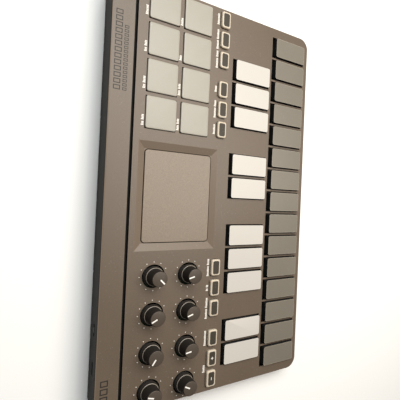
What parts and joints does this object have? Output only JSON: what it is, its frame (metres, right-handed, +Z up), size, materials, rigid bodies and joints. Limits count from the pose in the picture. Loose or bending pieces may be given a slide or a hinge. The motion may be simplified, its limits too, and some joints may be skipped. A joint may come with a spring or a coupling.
{
  "type": "midi keyboard",
  "caption": "Compact wedge-shaped music controller with low key caps, turning knobs, a touch plate, soft trigger pads and push buttons, run by cells or a cable.",
  "frame": {"origin": "middle of the footprint at the height that the feet stand on", "axes": "+X to the player's right along the keys, +Y to the rear, +Z up"},
  "size_m": [0.278, 0.1602, 0.0331],
  "materials": {
    "case_plastic": "fine textured",
    "base_plastic": "fine textured",
    "foot_rubber": "matt",
    "screw_steel": "blackened",
    "plate_plastic": "fine grained",
    "pad_silicone": "translucent, satin",
    "board_laminate": "solder-masked",
    "mat_silicone": "matt",
    "pot_plastic": "moulded",
    "cell_jacket": "printed film",
    "contact_metal": "nickel plated",
    "socket_metal": "tin plated",
    "switch_metal": "tin plated",
    "slider_plastic": "moulded",
    "natural_plastic": "satin",
    "sharp_plastic": "satin",
    "button_silicone": "translucent, satin",
    "knob_plastic": "satin"
  },
  "bodies": {
    "case": {"upper_case": "case_plastic", "lower_case": "base_plastic", "rubber_feet": "foot_rubber", "case_screws": "screw_steel", "touch_plate": "plate_plastic", "trigger_pads": "pad_silicone", "main_board": "board_laminate", "contact_mat": "mat_silicone", "potentiometers": "pot_plastic", "aaa_cells": "cell_jacket", "battery_contacts": "contact_metal", "usb_socket": "socket_metal", "switch_housing": "switch_metal"},
    "natural_key_01": {"natural_key_01": "natural_plastic"},
    "natural_key_02": {"natural_key_02": "natural_plastic"},
    "natural_key_03": {"natural_key_03": "natural_plastic"},
    "natural_key_04": {"natural_key_04": "natural_plastic"},
    "natural_key_05": {"natural_key_05": "natural_plastic"},
    "natural_key_06": {"natural_key_06": "natural_plastic"},
    "natural_key_07": {"natural_key_07": "natural_plastic"},
    "natural_key_08": {"natural_key_08": "natural_plastic"},
    "natural_key_09": {"natural_key_09": "natural_plastic"},
    "natural_key_10": {"natural_key_10": "natural_plastic"},
    "natural_key_11": {"natural_key_11": "natural_plastic"},
    "natural_key_12": {"natural_key_12": "natural_plastic"},
    "natural_key_13": {"natural_key_13": "natural_plastic"},
    "natural_key_14": {"natural_key_14": "natural_plastic"},
    "natural_key_15": {"natural_key_15": "natural_plastic"},
    "sharp_key_01": {"sharp_key_01": "sharp_plastic"},
    "sharp_key_02": {"sharp_key_02": "sharp_plastic"},
    "sharp_key_03": {"sharp_key_03": "sharp_plastic"},
    "sharp_key_04": {"sharp_key_04": "sharp_plastic"},
    "sharp_key_05": {"sharp_key_05": "sharp_plastic"},
    "sharp_key_06": {"sharp_key_06": "sharp_plastic"},
    "sharp_key_07": {"sharp_key_07": "sharp_plastic"},
    "sharp_key_08": {"sharp_key_08": "sharp_plastic"},
    "sharp_key_09": {"sharp_key_09": "sharp_plastic"},
    "sharp_key_10": {"sharp_key_10": "sharp_plastic"},
    "octave_down_button": {"octave_down_button": "button_silicone"},
    "octave_up_button": {"octave_up_button": "button_silicone"},
    "sustain_button": {"sustain_button": "button_silicone"},
    "touch_scale_button": {"touch_scale_button": "button_silicone"},
    "touch_xy_button": {"touch_xy_button": "button_silicone"},
    "pitch_mod_button": {"pitch_mod_button": "button_silicone"},
    "scene_button": {"scene_button": "button_silicone"},
    "shift_button": {"shift_button": "button_silicone"},
    "arp_button": {"arp_button": "button_silicone"},
    "chord_pad_button": {"chord_pad_button": "button_silicone"},
    "scale_guide_button": {"scale_guide_button": "button_silicone"},
    "repeat_button": {"repeat_button": "button_silicone"},
    "knob_1": {"knob_1": "knob_plastic"},
    "knob_2": {"knob_2": "knob_plastic"},
    "knob_3": {"knob_3": "knob_plastic"},
    "knob_4": {"knob_4": "knob_plastic"},
    "knob_5": {"knob_5": "knob_plastic"},
    "knob_6": {"knob_6": "knob_plastic"},
    "knob_7": {"knob_7": "knob_plastic"},
    "knob_8": {"knob_8": "knob_plastic"},
    "power_switch": {"power_switch": "slider_plastic"},
    "battery_door": {"battery_door": "base_plastic"}
  },
  "joints": [
    {"name": "natural_key_01_press", "type": "slide", "parent": "case", "child": "natural_key_01", "axis": [0, 0.0436, -0.999], "range_m": [0, 0.002], "stiffness_N_per_m": 180, "springref_m": -0.0012},
    {"name": "natural_key_02_press", "type": "slide", "parent": "case", "child": "natural_key_02", "axis": [0, 0.0436, -0.999], "range_m": [0, 0.002], "stiffness_N_per_m": 180, "springref_m": -0.0012},
    {"name": "natural_key_03_press", "type": "slide", "parent": "case", "child": "natural_key_03", "axis": [0, 0.0436, -0.999], "range_m": [0, 0.002], "stiffness_N_per_m": 180, "springref_m": -0.0012},
    {"name": "natural_key_04_press", "type": "slide", "parent": "case", "child": "natural_key_04", "axis": [0, 0.0436, -0.999], "range_m": [0, 0.002], "stiffness_N_per_m": 180, "springref_m": -0.0012},
    {"name": "natural_key_05_press", "type": "slide", "parent": "case", "child": "natural_key_05", "axis": [0, 0.0436, -0.999], "range_m": [0, 0.002], "stiffness_N_per_m": 180, "springref_m": -0.0012},
    {"name": "natural_key_06_press", "type": "slide", "parent": "case", "child": "natural_key_06", "axis": [0, 0.0436, -0.999], "range_m": [0, 0.002], "stiffness_N_per_m": 180, "springref_m": -0.0012},
    {"name": "natural_key_07_press", "type": "slide", "parent": "case", "child": "natural_key_07", "axis": [0, 0.0436, -0.999], "range_m": [0, 0.002], "stiffness_N_per_m": 180, "springref_m": -0.0012},
    {"name": "natural_key_08_press", "type": "slide", "parent": "case", "child": "natural_key_08", "axis": [0, 0.0436, -0.999], "range_m": [0, 0.002], "stiffness_N_per_m": 180, "springref_m": -0.0012},
    {"name": "natural_key_09_press", "type": "slide", "parent": "case", "child": "natural_key_09", "axis": [0, 0.0436, -0.999], "range_m": [0, 0.002], "stiffness_N_per_m": 180, "springref_m": -0.0012},
    {"name": "natural_key_10_press", "type": "slide", "parent": "case", "child": "natural_key_10", "axis": [0, 0.0436, -0.999], "range_m": [0, 0.002], "stiffness_N_per_m": 180, "springref_m": -0.0012},
    {"name": "natural_key_11_press", "type": "slide", "parent": "case", "child": "natural_key_11", "axis": [0, 0.0436, -0.999], "range_m": [0, 0.002], "stiffness_N_per_m": 180, "springref_m": -0.0012},
    {"name": "natural_key_12_press", "type": "slide", "parent": "case", "child": "natural_key_12", "axis": [0, 0.0436, -0.999], "range_m": [0, 0.002], "stiffness_N_per_m": 180, "springref_m": -0.0012},
    {"name": "natural_key_13_press", "type": "slide", "parent": "case", "child": "natural_key_13", "axis": [0, 0.0436, -0.999], "range_m": [0, 0.002], "stiffness_N_per_m": 180, "springref_m": -0.0012},
    {"name": "natural_key_14_press", "type": "slide", "parent": "case", "child": "natural_key_14", "axis": [0, 0.0436, -0.999], "range_m": [0, 0.002], "stiffness_N_per_m": 180, "springref_m": -0.0012},
    {"name": "natural_key_15_press", "type": "slide", "parent": "case", "child": "natural_key_15", "axis": [0, 0.0436, -0.999], "range_m": [0, 0.002], "stiffness_N_per_m": 180, "springref_m": -0.0012},
    {"name": "sharp_key_01_press", "type": "slide", "parent": "case", "child": "sharp_key_01", "axis": [0, 0.0436, -0.999], "range_m": [0, 0.002], "stiffness_N_per_m": 180, "springref_m": -0.0012},
    {"name": "sharp_key_02_press", "type": "slide", "parent": "case", "child": "sharp_key_02", "axis": [0, 0.0436, -0.999], "range_m": [0, 0.002], "stiffness_N_per_m": 180, "springref_m": -0.0012},
    {"name": "sharp_key_03_press", "type": "slide", "parent": "case", "child": "sharp_key_03", "axis": [0, 0.0436, -0.999], "range_m": [0, 0.002], "stiffness_N_per_m": 180, "springref_m": -0.0012},
    {"name": "sharp_key_04_press", "type": "slide", "parent": "case", "child": "sharp_key_04", "axis": [0, 0.0436, -0.999], "range_m": [0, 0.002], "stiffness_N_per_m": 180, "springref_m": -0.0012},
    {"name": "sharp_key_05_press", "type": "slide", "parent": "case", "child": "sharp_key_05", "axis": [0, 0.0436, -0.999], "range_m": [0, 0.002], "stiffness_N_per_m": 180, "springref_m": -0.0012},
    {"name": "sharp_key_06_press", "type": "slide", "parent": "case", "child": "sharp_key_06", "axis": [0, 0.0436, -0.999], "range_m": [0, 0.002], "stiffness_N_per_m": 180, "springref_m": -0.0012},
    {"name": "sharp_key_07_press", "type": "slide", "parent": "case", "child": "sharp_key_07", "axis": [0, 0.0436, -0.999], "range_m": [0, 0.002], "stiffness_N_per_m": 180, "springref_m": -0.0012},
    {"name": "sharp_key_08_press", "type": "slide", "parent": "case", "child": "sharp_key_08", "axis": [0, 0.0436, -0.999], "range_m": [0, 0.002], "stiffness_N_per_m": 180, "springref_m": -0.0012},
    {"name": "sharp_key_09_press", "type": "slide", "parent": "case", "child": "sharp_key_09", "axis": [0, 0.0436, -0.999], "range_m": [0, 0.002], "stiffness_N_per_m": 180, "springref_m": -0.0012},
    {"name": "sharp_key_10_press", "type": "slide", "parent": "case", "child": "sharp_key_10", "axis": [0, 0.0436, -0.999], "range_m": [0, 0.002], "stiffness_N_per_m": 180, "springref_m": -0.0012},
    {"name": "octave_down_button_press", "type": "slide", "parent": "case", "child": "octave_down_button", "axis": [0, 0.0436, -0.999], "range_m": [0, 0.0008], "stiffness_N_per_m": 900, "springref_m": -0.0005},
    {"name": "octave_up_button_press", "type": "slide", "parent": "case", "child": "octave_up_button", "axis": [0, 0.0436, -0.999], "range_m": [0, 0.0008], "stiffness_N_per_m": 900, "springref_m": -0.0005},
    {"name": "sustain_button_press", "type": "slide", "parent": "case", "child": "sustain_button", "axis": [0, 0.0436, -0.999], "range_m": [0, 0.0008], "stiffness_N_per_m": 900, "springref_m": -0.0005},
    {"name": "touch_scale_button_press", "type": "slide", "parent": "case", "child": "touch_scale_button", "axis": [0, 0.0436, -0.999], "range_m": [0, 0.0008], "stiffness_N_per_m": 900, "springref_m": -0.0005},
    {"name": "touch_xy_button_press", "type": "slide", "parent": "case", "child": "touch_xy_button", "axis": [0, 0.0436, -0.999], "range_m": [0, 0.0008], "stiffness_N_per_m": 900, "springref_m": -0.0005},
    {"name": "pitch_mod_button_press", "type": "slide", "parent": "case", "child": "pitch_mod_button", "axis": [0, 0.0436, -0.999], "range_m": [0, 0.0008], "stiffness_N_per_m": 900, "springref_m": -0.0005},
    {"name": "scene_button_press", "type": "slide", "parent": "case", "child": "scene_button", "axis": [0, 0.0436, -0.999], "range_m": [0, 0.0008], "stiffness_N_per_m": 900, "springref_m": -0.0005},
    {"name": "shift_button_press", "type": "slide", "parent": "case", "child": "shift_button", "axis": [0, 0.0436, -0.999], "range_m": [0, 0.0008], "stiffness_N_per_m": 900, "springref_m": -0.0005},
    {"name": "arp_button_press", "type": "slide", "parent": "case", "child": "arp_button", "axis": [0, 0.0436, -0.999], "range_m": [0, 0.0008], "stiffness_N_per_m": 900, "springref_m": -0.0005},
    {"name": "chord_pad_button_press", "type": "slide", "parent": "case", "child": "chord_pad_button", "axis": [0, 0.0436, -0.999], "range_m": [0, 0.0008], "stiffness_N_per_m": 900, "springref_m": -0.0005},
    {"name": "scale_guide_button_press", "type": "slide", "parent": "case", "child": "scale_guide_button", "axis": [0, 0.0436, -0.999], "range_m": [0, 0.0008], "stiffness_N_per_m": 900, "springref_m": -0.0005},
    {"name": "repeat_button_press", "type": "slide", "parent": "case", "child": "repeat_button", "axis": [0, 0.0436, -0.999], "range_m": [0, 0.0008], "stiffness_N_per_m": 900, "springref_m": -0.0005},
    {"name": "knob_1_turn", "type": "hinge", "parent": "case", "child": "knob_1", "pos_m": [-0.12785, 0.02174, 0.02495], "axis": [0, -0.0436, 0.999], "range_deg": [-121, 179]},
    {"name": "knob_2_turn", "type": "hinge", "parent": "case", "child": "knob_2", "pos_m": [-0.10275, 0.02174, 0.02495], "axis": [0, -0.0436, 0.999], "range_deg": [-158, 142]},
    {"name": "knob_3_turn", "type": "hinge", "parent": "case", "child": "knob_3", "pos_m": [-0.07765, 0.02174, 0.02495], "axis": [0, -0.0436, 0.999], "range_deg": [-168, 132]},
    {"name": "knob_4_turn", "type": "hinge", "parent": "case", "child": "knob_4", "pos_m": [-0.05255, 0.02174, 0.02495], "axis": [0, -0.0436, 0.999], "range_deg": [-165, 135]},
    {"name": "knob_5_turn", "type": "hinge", "parent": "case", "child": "knob_5", "pos_m": [-0.12785, 0.04631, 0.02602], "axis": [0, -0.0436, 0.999], "range_deg": [-132, 168]},
    {"name": "knob_6_turn", "type": "hinge", "parent": "case", "child": "knob_6", "pos_m": [-0.10275, 0.04631, 0.02602], "axis": [0, -0.0436, 0.999], "range_deg": [-206, 94]},
    {"name": "knob_7_turn", "type": "hinge", "parent": "case", "child": "knob_7", "pos_m": [-0.07765, 0.04631, 0.02602], "axis": [0, -0.0436, 0.999], "range_deg": [-176, 124]},
    {"name": "knob_8_turn", "type": "hinge", "parent": "case", "child": "knob_8", "pos_m": [-0.05255, 0.04631, 0.02602], "axis": [0, -0.0436, 0.999], "range_deg": [-284, 16]},
    {"name": "power_slide", "type": "slide", "parent": "case", "child": "power_switch", "axis": [1, 0, 0], "range_m": [-0.002, 0.002]},
    {"name": "door_slide", "type": "slide", "parent": "case", "child": "battery_door", "axis": [0, 1, 0], "range_m": [0, 0.02]}
  ]
}
